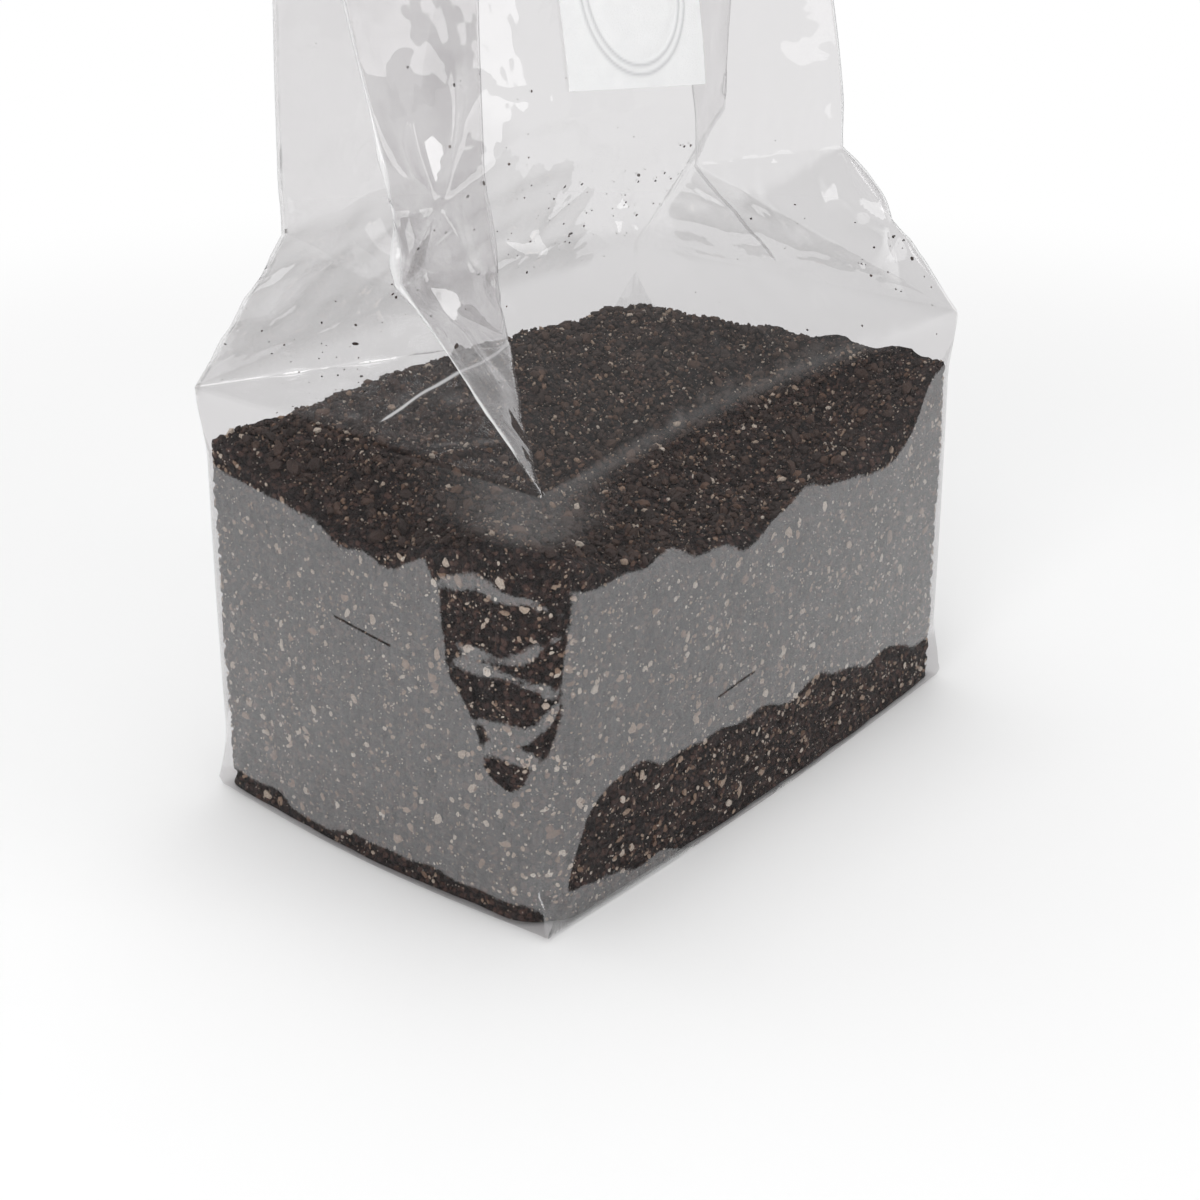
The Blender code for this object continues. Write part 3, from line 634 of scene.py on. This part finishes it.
sheet = add("ShaderNodeBsdfPrincipled", {"Base Color": tint, "Roughness": rough, "Normal": nap, "Subsurface Weight": 0.0})
add("ShaderNodeOutputMaterial", {"Surface": sheet.outputs[0]})
patch_mesh.materials.append(membrane)
filter_patch = bpy.data.objects.new("filter_membrane", patch_mesh)
bpy.context.scene.collection.objects.link(filter_patch)
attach(filter_patch, "root")
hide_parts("filter_patch")

# The substrate: a block of moist dark compost crumbs, filled in loose and pressed to the film by its
# own weight, so that its walls are flat between the crumbs while its top stays loose and uneven.
FILM_GAP = 0.0007
FILL_BACK_DROP = 0.004
FILL_FAR_DROP = 0.005
FILL_FRONT_DROP = 0.030
FILL_CORNER_RISE = 0.027
FILL_CORNER_CURVE = 2.5
FILL_LEFT_DIP = 0.015
FILL_DIP_REACH = 0.030
FILL_RIPPLE = 0.0012
FILL_RIPPLE_SPACING_X = 0.034
FILL_RIPPLE_SPACING_Y = 0.026
FILL_RIPPLE_START_X = 1.0
FILL_RIPPLE_START_Y = 0.5
FILL_EDGE_DROP = 0.003
FILL_EDGE_REACH = 0.007
CLUMP_SPACING = 0.019
TOP_HOLLOW = 0.0030
WALL_HOLLOW = 0.0014
CRUMB = 0.0024
LUMP = 0.009
LUMP_RELIEF = 0.0007
WALL_RELIEF = 0.0016
TOP_RELIEF = 0.0022
TOP_ACROSS = 188
TOP_DEEP = 120
FILL_ROWS = 98


def fill_height(x, y):
    """Height of the top: high at the back, lower along the front and the left wall."""
    back = smooth((y + BAG_DEPTH / 2) / BAG_DEPTH)
    to_side = np.minimum(np.abs(2 * x) / BAG_WIDTH, 1.0)
    front_drop = FILL_FRONT_DROP - FILL_CORNER_RISE * to_side**FILL_CORNER_CURVE
    back_drop = FILL_BACK_DROP + FILL_FAR_DROP * smooth(2 * x / BAG_WIDTH)
    drop = mix(front_drop, back_drop, back)
    from_left = (x + BAG_WIDTH / 2) / FILL_DIP_REACH
    drop = drop + FILL_LEFT_DIP * (1 - smooth(from_left)) * np.sin(math.pi * back)
    ripple = np.sin(2 * math.pi * x / FILL_RIPPLE_SPACING_X + FILL_RIPPLE_START_X)
    ripple = ripple * np.sin(2 * math.pi * y / FILL_RIPPLE_SPACING_Y + FILL_RIPPLE_START_Y)
    return BLOCK_HEIGHT - SOFT_BEND - drop + FILL_RIPPLE * ripple


def clump_hollows(places):
    """How deep places lie between the clumps of the filling, from 0 to 1."""
    from_clump = [noise.voronoi(Vector(place) / CLUMP_SPACING)[0][0] for place in places.reshape(-1, 3)]
    return np.minimum(from_clump, 1.0).reshape(places.shape[:-1]) ** 2


def loose_height(x, y):
    """Height of the loose top, with its clumps, its smaller lumps and its drop at the walls."""
    flat = np.stack((x, y, fill_height(x, y)), axis=-1)
    lumps = [noise.noise((a / LUMP, b / LUMP, 0.3)) for a, b, _ in flat.reshape(-1, 3)]
    edge = np.minimum(BAG_WIDTH / 2 - np.abs(x), BAG_DEPTH / 2 - np.abs(y))
    inward = smooth(edge / FILL_EDGE_REACH)
    loose = LUMP_RELIEF * np.reshape(lumps, x.shape) - TOP_HOLLOW * clump_hollows(flat)
    return flat[..., 2] + loose * inward - FILL_EDGE_DROP * (1 - inward)


def crumbs_at(point, size):
    """How far a point lies from the middle of its crumb, from 0 to about 1."""
    return noise.voronoi((point[0] / size, point[1] / size, point[2] / size))[0][0]


fill_side, fill_part = [], []
for side, steps in (("front", TOP_ACROSS), ("right", TOP_DEEP), ("back", TOP_ACROSS), ("left", TOP_DEEP)):
    fill_side += [side] * steps
    fill_part += [i / steps for i in range(steps)]
fill_side, fill_part = np.array(fill_side), np.array(fill_part)


def fill_wall(shares, inset):
    """Points of the upright walls, at shares of their height from the base to the rim."""
    wall = np.zeros((len(shares), len(fill_part), 3))
    for side in SIDES:
        there = fill_side == side
        foot = wall_point(side, fill_part[there], 0.0, 1.0, inset)
        rim = fill_height(foot[:, 0], foot[:, 1]) - FILL_EDGE_DROP
        height = mix(inset, rim[None, :], np.asarray(shares)[:, None])
        flat = wall_point(side, fill_part[there][None, :], height, 1.0, inset)
        hollow = WALL_HOLLOW * clump_hollows(flat)
        wall[:, there] = flat - hollow[..., None] * SIDES[side][2]
    return wall


fill = fill_wall(np.linspace(0, 1, FILL_ROWS + 1), FILM_GAP)
fill_out = outward(fill)
fill_out[..., 2] = 0
for j in range(1, len(fill)):
    for i in range(fill.shape[1]):
        point = fill[j, i]
        deep = WALL_RELIEF * min(max(crumbs_at(point, CRUMB) - 0.30, 0) * 2.0, 1)
        deep *= 0.55 + 0.9 * (noise.noise(tuple(point / LUMP)) * 0.5 + 0.5)
        fill[j, i] = point - fill_out[j, i] * deep
rim = fill[-1]
n, m = TOP_ACROSS, TOP_DEEP
front_rim, right_rim = rim[: n + 1], rim[n : n + m + 1]
back_rim = rim[n + m : 2 * n + m + 1][::-1]
left_rim = np.concatenate((rim[2 * n + m :], rim[:1]))[::-1]
u = np.linspace(0, 1, n + 1)[None, :, None]
v = np.linspace(0, 1, m + 1)[:, None, None]
top = mix(front_rim[None], back_rim[None], v) + mix(left_rim[:, None], right_rim[:, None], u)
corners = mix(mix(rim[0], rim[n], u), mix(rim[2 * n + m], rim[n + m], u), v)
top = top - corners
loose = loose_height(top[..., 0], top[..., 1])
for j in range(1, m):
    for i in range(1, n):
        x, y, _ = top[j, i]
        top[j, i, 2] = loose[j, i] + TOP_RELIEF * (0.5 - crumbs_at((x, y, loose[j, i]), CRUMB))
points = fill.reshape(-1, 3).tolist()
count = fill.shape[1]
faces = []
for j in range(FILL_ROWS):
    for i in range(count):
        k = (i + 1) % count
        faces.append((j * count + i, j * count + k, (j + 1) * count + k, (j + 1) * count + i))
first = FILL_ROWS * count
index = np.zeros((m + 1, n + 1), int)
index[0, :] = first + np.arange(n + 1)
index[:, n] = first + n + np.arange(m + 1)
index[m, ::-1] = first + n + m + np.arange(n + 1)
index[::-1, 0] = first + (2 * n + m + np.arange(m + 1)) % count
for j in range(1, m):
    for i in range(1, n):
        index[j, i] = len(points)
        points.append(tuple(top[j, i]))
for j in range(m):
    for i in range(n):
        faces.append((index[j, i], index[j, i + 1], index[j + 1, i + 1], index[j + 1, i]))
faces = [tuple(int(a) for a in f) for f in faces]
faces.append(tuple(range(count - 1, -1, -1)))
fill_mesh = bpy.data.meshes.new("substrate_fine")
fill_mesh.from_pydata(points, [], faces)
fill_mesh.shade_smooth()
moist, add = new_material("moist_compost")
place = add("ShaderNodeNewGeometry").outputs["Position"]
grain = add("ShaderNodeTexNoise", {"Vector": place, "Scale": 1300.0, "Detail": 5.0, "Roughness": 0.75}).outputs["Fac"]
patchy = add("ShaderNodeTexNoise", {"Vector": place, "Scale": 70.0, "Detail": 6.0, "Roughness": 0.65}).outputs["Fac"]
crumb = add("ShaderNodeTexVoronoi", {"Vector": place, "Scale": 640.0})
tone = add("ShaderNodeSeparateColor", {0: crumb.outputs["Color"]}).outputs[0]
tone = add("ShaderNodeMath", {0: tone, 1: 0.55}, operation="MULTIPLY").outputs[0]
tone = add("ShaderNodeMath", {0: grain, 1: 0.62, 2: tone}, operation="MULTIPLY_ADD").outputs[0]
colour = add("ShaderNodeValToRGB", {"Fac": tone})
ramp = colour.color_ramp
ramp.elements[0].position, ramp.elements[0].color = 0.22, (0.0070, 0.0040, 0.0037, 1)
ramp.elements[1].position, ramp.elements[1].color = 0.92, (0.140, 0.077, 0.060, 1)
for position, shade in ((0.45, (0.023, 0.0132, 0.0122)), (0.68, (0.060, 0.0345, 0.0295))):
    ramp.elements.new(position).color = (*shade, 1)
# Painted shade: the colour darkens towards the edge of each crumb, in the gaps between them, where the bump sinks too
gap_depth_and_shade = add("ShaderNodeMapRange", {"Value": crumb.outputs["Distance"], "From Min": 0.42, "From Max": 0.78, "To Min": 1.0, "To Max": 0.25}).outputs[0]
shade = add("ShaderNodeVectorMath", {0: colour.outputs[0], 1: gap_depth_and_shade}, operation="MULTIPLY").outputs[0]
for size, share, reach, tint in ((520.0, 0.93, 0.27, (0.33, 0.25, 0.19, 1)), (1250.0, 0.93, 0.34, (0.42, 0.36, 0.31, 1))):
    fleck = add("ShaderNodeTexVoronoi", {"Vector": place, "Scale": size})
    chosen = add("ShaderNodeSeparateColor", {0: fleck.outputs["Color"]}).outputs[1]
    chosen = add("ShaderNodeMath", {0: chosen, 1: share}, operation="GREATER_THAN").outputs[0]
    inside = add("ShaderNodeMath", {0: fleck.outputs["Distance"], 1: reach}, operation="LESS_THAN").outputs[0]
    chosen = add("ShaderNodeMath", {0: chosen, 1: inside}, operation="MULTIPLY").outputs[0]
    shade = add("ShaderNodeMix", {"Factor": chosen, "A": shade, "B": tint}, data_type="RGBA")
    shade = [o for o in shade.outputs if o.type == "RGBA"][0]
rough = add("ShaderNodeMapRange", {"Value": patchy, "To Min": 0.38, "To Max": 0.85}).outputs[0]
bumps = add("ShaderNodeBump", {"Height": gap_depth_and_shade, "Strength": 1.0, "Distance": 0.0011}).outputs["Normal"]
bumps = add("ShaderNodeBump", {"Height": grain, "Strength": 0.9, "Distance": 0.0009, "Normal": bumps}).outputs["Normal"]
sheet = add("ShaderNodeBsdfPrincipled", {"Base Color": shade, "Roughness": rough, "Normal": bumps, "Specular IOR Level": 0.45})
add("ShaderNodeOutputMaterial", {"Surface": sheet.outputs[0]})
fill_mesh.materials.append(moist)
substrate = bpy.data.objects.new("substrate_block", fill_mesh)
bpy.context.scene.collection.objects.link(substrate)
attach(substrate, "root")
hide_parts("substrate_fill")

# The flakes: pale mineral grains mixed through the compost, which show where they lie against the
# film and on the open top. Loose dark crumbs lie among them, and a few hang on the film above.
WALL_FLAKES = 8000
TOP_FLAKES = 4000
TOP_CRUMBS = 5200
GOLDEN = (1 + math.sqrt(5)) / 2
GRAIN_CORNERS = np.array([
    (-1, GOLDEN, 0), (1, GOLDEN, 0), (-1, -GOLDEN, 0), (1, -GOLDEN, 0), (0, -1, GOLDEN), (0, 1, GOLDEN),
    (0, -1, -GOLDEN), (0, 1, -GOLDEN), (GOLDEN, 0, -1), (GOLDEN, 0, 1), (-GOLDEN, 0, -1), (-GOLDEN, 0, 1),
]) / math.hypot(1, GOLDEN)
GRAIN_FACES = np.array([
    (0, 11, 5), (0, 5, 1), (0, 1, 7), (0, 7, 10), (0, 10, 11), (1, 5, 9), (5, 11, 4), (11, 10, 2), (10, 7, 6),
    (7, 1, 8), (3, 9, 4), (3, 4, 2), (3, 2, 6), (3, 6, 8), (3, 8, 9), (4, 9, 5), (2, 4, 11), (6, 2, 10),
    (8, 6, 7), (9, 8, 1),
])
random_grains = np.random.default_rng(7)


def grains(name, middles, ways_out, radii, flatness, material):
    """Many small uneven grains as one piece: each is a knobbly solid, flattened along its way out."""
    count = len(middles)
    helper = random_grains.normal(size=(count, 3))
    side_way = np.cross(ways_out, helper)
    side_way /= np.linalg.norm(side_way, axis=1, keepdims=True)
    cross_way = np.cross(ways_out, side_way)
    stretch = np.stack((
        radii * random_grains.uniform(0.8, 1.5, count),
        radii * random_grains.uniform(0.6, 1.0, count),
        radii * random_grains.uniform(*flatness, count),
    ), axis=1)
    corners = GRAIN_CORNERS[None] * random_grains.uniform(0.72, 1.15, (count, len(GRAIN_CORNERS), 1))
    turn = random_grains.uniform(0, 2 * math.pi, (count, 1))
    x = corners[..., 0] * np.cos(turn) - corners[..., 1] * np.sin(turn)
    y = corners[..., 0] * np.sin(turn) + corners[..., 1] * np.cos(turn)
    local = np.stack((x, y, corners[..., 2]), axis=-1) * stretch[:, None, :]
    points = middles[:, None] + local[..., :1] * side_way[:, None]
    points = points + local[..., 1:2] * cross_way[:, None] + local[..., 2:] * ways_out[:, None]
    shift = np.arange(count)[:, None, None] * len(GRAIN_CORNERS)
    mesh = bpy.data.meshes.new(name)
    mesh.from_pydata(points.reshape(-1, 3).tolist(), [], (GRAIN_FACES[None] + shift).reshape(-1, 3).tolist())
    mesh.materials.append(material)
    piece = bpy.data.objects.new(name, mesh)
    bpy.context.scene.collection.objects.link(piece)
    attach(piece, "root")
    return piece


def grain_material(name, tones, roughness):
    """A mineral or earth finish whose tone changes from grain to grain."""
    material, add = new_material(name)
    geometry = add("ShaderNodeNewGeometry")
    ramp_node = add("ShaderNodeValToRGB", {"Fac": geometry.outputs["Random Per Island"]})
    ramp = ramp_node.color_ramp
    ramp.elements[0].position, ramp.elements[0].color = tones[0][0], (*tones[0][1], 1)
    ramp.elements[1].position, ramp.elements[1].color = tones[-1][0], (*tones[-1][1], 1)
    for position, colour in tones[1:-1]:
        ramp.elements.new(position).color = (*colour, 1)
    pits = add("ShaderNodeTexNoise", {"Vector": geometry.outputs["Position"], "Scale": 2600.0, "Detail": 4.0}).outputs["Fac"]
    # The tone is darker in the low places of the pitted bump
    pit_darkening = add("ShaderNodeMapRange", {"Value": pits, "From Min": 0.3, "From Max": 0.65, "To Min": 0.45, "To Max": 1.0}).outputs[0]
    pit_darkened = add("ShaderNodeMix", {"Factor": pit_darkening, "A": (0.06, 0.045, 0.036, 1), "B": ramp_node.outputs[0]}, data_type="RGBA")
    pit_darkened = [s for s in pit_darkened.outputs if s.type == "RGBA"][0]
    bump = add("ShaderNodeBump", {"Height": pits, "Strength": 0.5, "Distance": 0.0004}).outputs["Normal"]
    sheet = add("ShaderNodeBsdfPrincipled", {"Base Color": pit_darkened, "Roughness": roughness, "Normal": bump})
    add("ShaderNodeOutputMaterial", {"Surface": sheet.outputs[0]})
    return material


pale_flake = grain_material("pale_mineral_flake", (
    (0.0, (0.18, 0.10, 0.065)), (0.3, (0.34, 0.23, 0.16)), (0.65, (0.52, 0.41, 0.32)), (1.0, (0.74, 0.66, 0.57)),
), 0.7)
dark_crumb = grain_material("dark_compost_crumb", (
    (0.0, (0.018, 0.011, 0.010)), (0.55, (0.045, 0.027, 0.023)), (0.9, (0.09, 0.052, 0.038)), (1.0, (0.16, 0.09, 0.06)),
), 0.8)

walls = fill_wall(np.linspace(0.01, 0.995, 240), FILM_GAP)
wall_ways = outward(walls)
rows_at = random_grains.integers(1, len(walls) - 1, WALL_FLAKES)
columns_at = random_grains.integers(0, walls.shape[1], WALL_FLAKES)
radii = np.minimum(0.00022 + 0.00028 * random_grains.exponential(1.0, WALL_FLAKES) ** 1.15, 0.0018)
ways = wall_ways[rows_at, columns_at]
grains("wall_flakes", walls[rows_at, columns_at] - ways * (radii * 0.35)[:, None], ways, radii, (0.3, 0.42), pale_flake)


def top_places(count, margin):
    """Random places on the open top, with the height there."""
    x = random_grains.uniform(-BAG_WIDTH / 2 + margin, BAG_WIDTH / 2 - margin, count)
    y = random_grains.uniform(-BAG_DEPTH / 2 + margin, BAG_DEPTH / 2 - margin, count)
    return np.stack((x, y, loose_height(x, y)), axis=1)


def any_way(count):
    way = random_grains.normal(size=(count, 3)) + np.array((0, 0, 0.6))
    return way / np.linalg.norm(way, axis=1, keepdims=True)


radii = np.minimum(0.00020 + 0.00024 * random_grains.exponential(1.0, TOP_FLAKES), 0.0016)
places = top_places(TOP_FLAKES, 0.004) + np.array((0, 0, 0.0002))
grains("top_flakes", places, any_way(TOP_FLAKES), radii, (0.4, 0.9), pale_flake)
radii = np.minimum(0.0005 + 0.0004 * random_grains.exponential(1.0, TOP_CRUMBS), 0.0022)
places = top_places(TOP_CRUMBS, 0.004) + np.array((0, 0, 0.0005))
grains("top_crumbs", places, any_way(TOP_CRUMBS), radii, (0.6, 1.0), dark_crumb)

# Crumbs left on the inside of the film above the filling: (round, up, spread, how many)
STUCK = (
    (LEFT_END - 0.100, 0.158, 0.018, 46), (LEFT_END - 0.060, 0.150, 0.030, 26), (0.43, 0.170, 0.035, 60),
    (0.40, 0.150, 0.020, 30), (0.35, 0.155, 0.020, 36), (0.21, 0.150, 0.020, 26), (0.10, 0.160, 0.050, 18),
    (LEFT_END - 0.11, 0.26, 0.05, 10),
)
middles, ways, radii = [], [], []
for around, length, spread, count in STUCK:
    for _ in range(count):
        column = np.abs(((film_round[0] - around - random_grains.normal() * spread) + ROUND_THE_BAG / 2) % ROUND_THE_BAG - ROUND_THE_BAG / 2).argmin()
        row = np.abs(row_length - length - random_grains.normal() * spread * 0.6).argmin()
        radius = min(0.00014 + 0.00016 * random_grains.exponential(), 0.0009)
        way = film_out[row, column]
        middles.append(film[row, column] - way * (radius * 0.5 + 0.0002))
        ways.append(way)
        radii.append(radius)
grains("stuck_crumbs", np.array(middles), np.array(ways), np.array(radii), (0.5, 0.8), dark_crumb)

# The studio: a plain white floor, one large soft light over the bag and two softboxes beside the
# camera, with a pale horizon and a dim ceiling for the film to mirror.
FLOOR_DROP = 0.0006
FLOOR_REACH = 8.0
floor_mesh = bpy.data.meshes.new("floor")
floor_mesh.from_pydata([(-FLOOR_REACH, -FLOOR_REACH, -FLOOR_DROP), (FLOOR_REACH, -FLOOR_REACH, -FLOOR_DROP), (FLOOR_REACH, FLOOR_REACH, -FLOOR_DROP), (-FLOOR_REACH, FLOOR_REACH, -FLOOR_DROP)], [], [(0, 1, 2, 3)])
floor_white, add = new_material("white_floor")
sheet = add("ShaderNodeBsdfDiffuse", {"Color": (0.93, 0.93, 0.93, 1)}).outputs[0]
distance = add("ShaderNodeVectorMath", {0: add("ShaderNodeNewGeometry").outputs["Position"]}, operation="LENGTH").outputs["Value"]
far = add("ShaderNodeMapRange", {"Value": distance, "From Min": 0.30, "From Max": 0.75}, interpolation_type="SMOOTHSTEP").outputs[0]
ray = add("ShaderNodeLightPath")
seen = add("ShaderNodeMath", {0: ray.outputs["Is Camera Ray"], 1: ray.outputs["Is Glossy Ray"]}, operation="MAXIMUM").outputs[0]
seen = add("ShaderNodeMath", {0: seen, 1: ray.outputs["Is Transmission Ray"]}, operation="MAXIMUM").outputs[0]
far = add("ShaderNodeMath", {0: far, 1: seen}, operation="MULTIPLY").outputs[0]
white = add("ShaderNodeEmission", {"Color": (1, 1, 1, 1), "Strength": 1.0}).outputs[0]
sheet = add("ShaderNodeMixShader", {0: far, 1: sheet, 2: white}).outputs[0]
add("ShaderNodeOutputMaterial", {"Surface": sheet})
floor_mesh.materials.append(floor_white)
floor = bpy.data.objects.new("floor", floor_mesh)
bpy.context.scene.collection.objects.link(floor)

studio = bpy.data.worlds.new("studio")
bpy.context.scene.world = studio
studio.use_nodes = True
nodes, links = studio.node_tree.nodes, studio.node_tree.links
nodes.clear()
way = nodes.new("ShaderNodeTexCoord")
split = nodes.new("ShaderNodeSeparateXYZ")
links.new(way.outputs["Generated"], split.inputs[0])
fade = nodes.new("ShaderNodeMapRange")
fade.inputs["From Min"].default_value = math.sin(math.radians(12))
fade.inputs["From Max"].default_value = math.sin(math.radians(27))
fade.inputs["To Min"].default_value = 1.0
fade.inputs["To Max"].default_value = 0.30
links.new(split.outputs["Z"], fade.inputs["Value"])
glow = nodes.new("ShaderNodeBackground")
glow.inputs["Color"].default_value = (1, 1, 1, 1)
links.new(fade.outputs[0], glow.inputs["Strength"])
end = nodes.new("ShaderNodeOutputWorld")
links.new(glow.outputs[0], end.inputs["Surface"])


def softbox(name, place, aim, size, power):
    """One square soft light aimed at a point."""
    light = bpy.data.lights.new(name, "AREA")
    light.shape = "RECTANGLE"
    light.size, light.size_y = size
    light.energy = power
    lamp = bpy.data.objects.new(name, light)
    lamp.location = place
    lamp.rotation_euler = (Vector(aim) - Vector(place)).to_track_quat("-Z", "Y").to_euler()
    bpy.context.scene.collection.objects.link(lamp)


softbox("overhead", (0.1, 0.2, 1.6), (0, 0, 0.1), (1.2, 1.2), 15)
softbox("camera_left", (-1.3, -0.5, 0.75), (0, 0, 0.15), (0.8, 0.9), 9)
softbox("camera_right", (0.5, -1.4, 0.80), (0, 0, 0.15), (0.8, 0.9), 4)

# The camera: beside the near corner, a little above the filling
CAMERA_PLACE = (-0.4489, -0.3684, 0.3153)
CAMERA_TURN = math.radians(50.7)
CAMERA_DOWN = math.radians(24.9)
view = bpy.data.cameras.new("camera")
view.lens = 60
view.sensor_width = 36
camera = bpy.data.objects.new("camera", view)
camera.location = CAMERA_PLACE
camera.rotation_euler = (math.pi / 2 - CAMERA_DOWN, 0, -CAMERA_TURN)
bpy.context.scene.collection.objects.link(camera)
bpy.context.scene.camera = camera
bpy.context.scene.view_settings.view_transform = "Standard"
bpy.context.scene.cycles.transparent_max_bounces = 16
bpy.context.scene.cycles.diffuse_bounces = 2
bpy.context.scene.cycles.glossy_bounces = 2
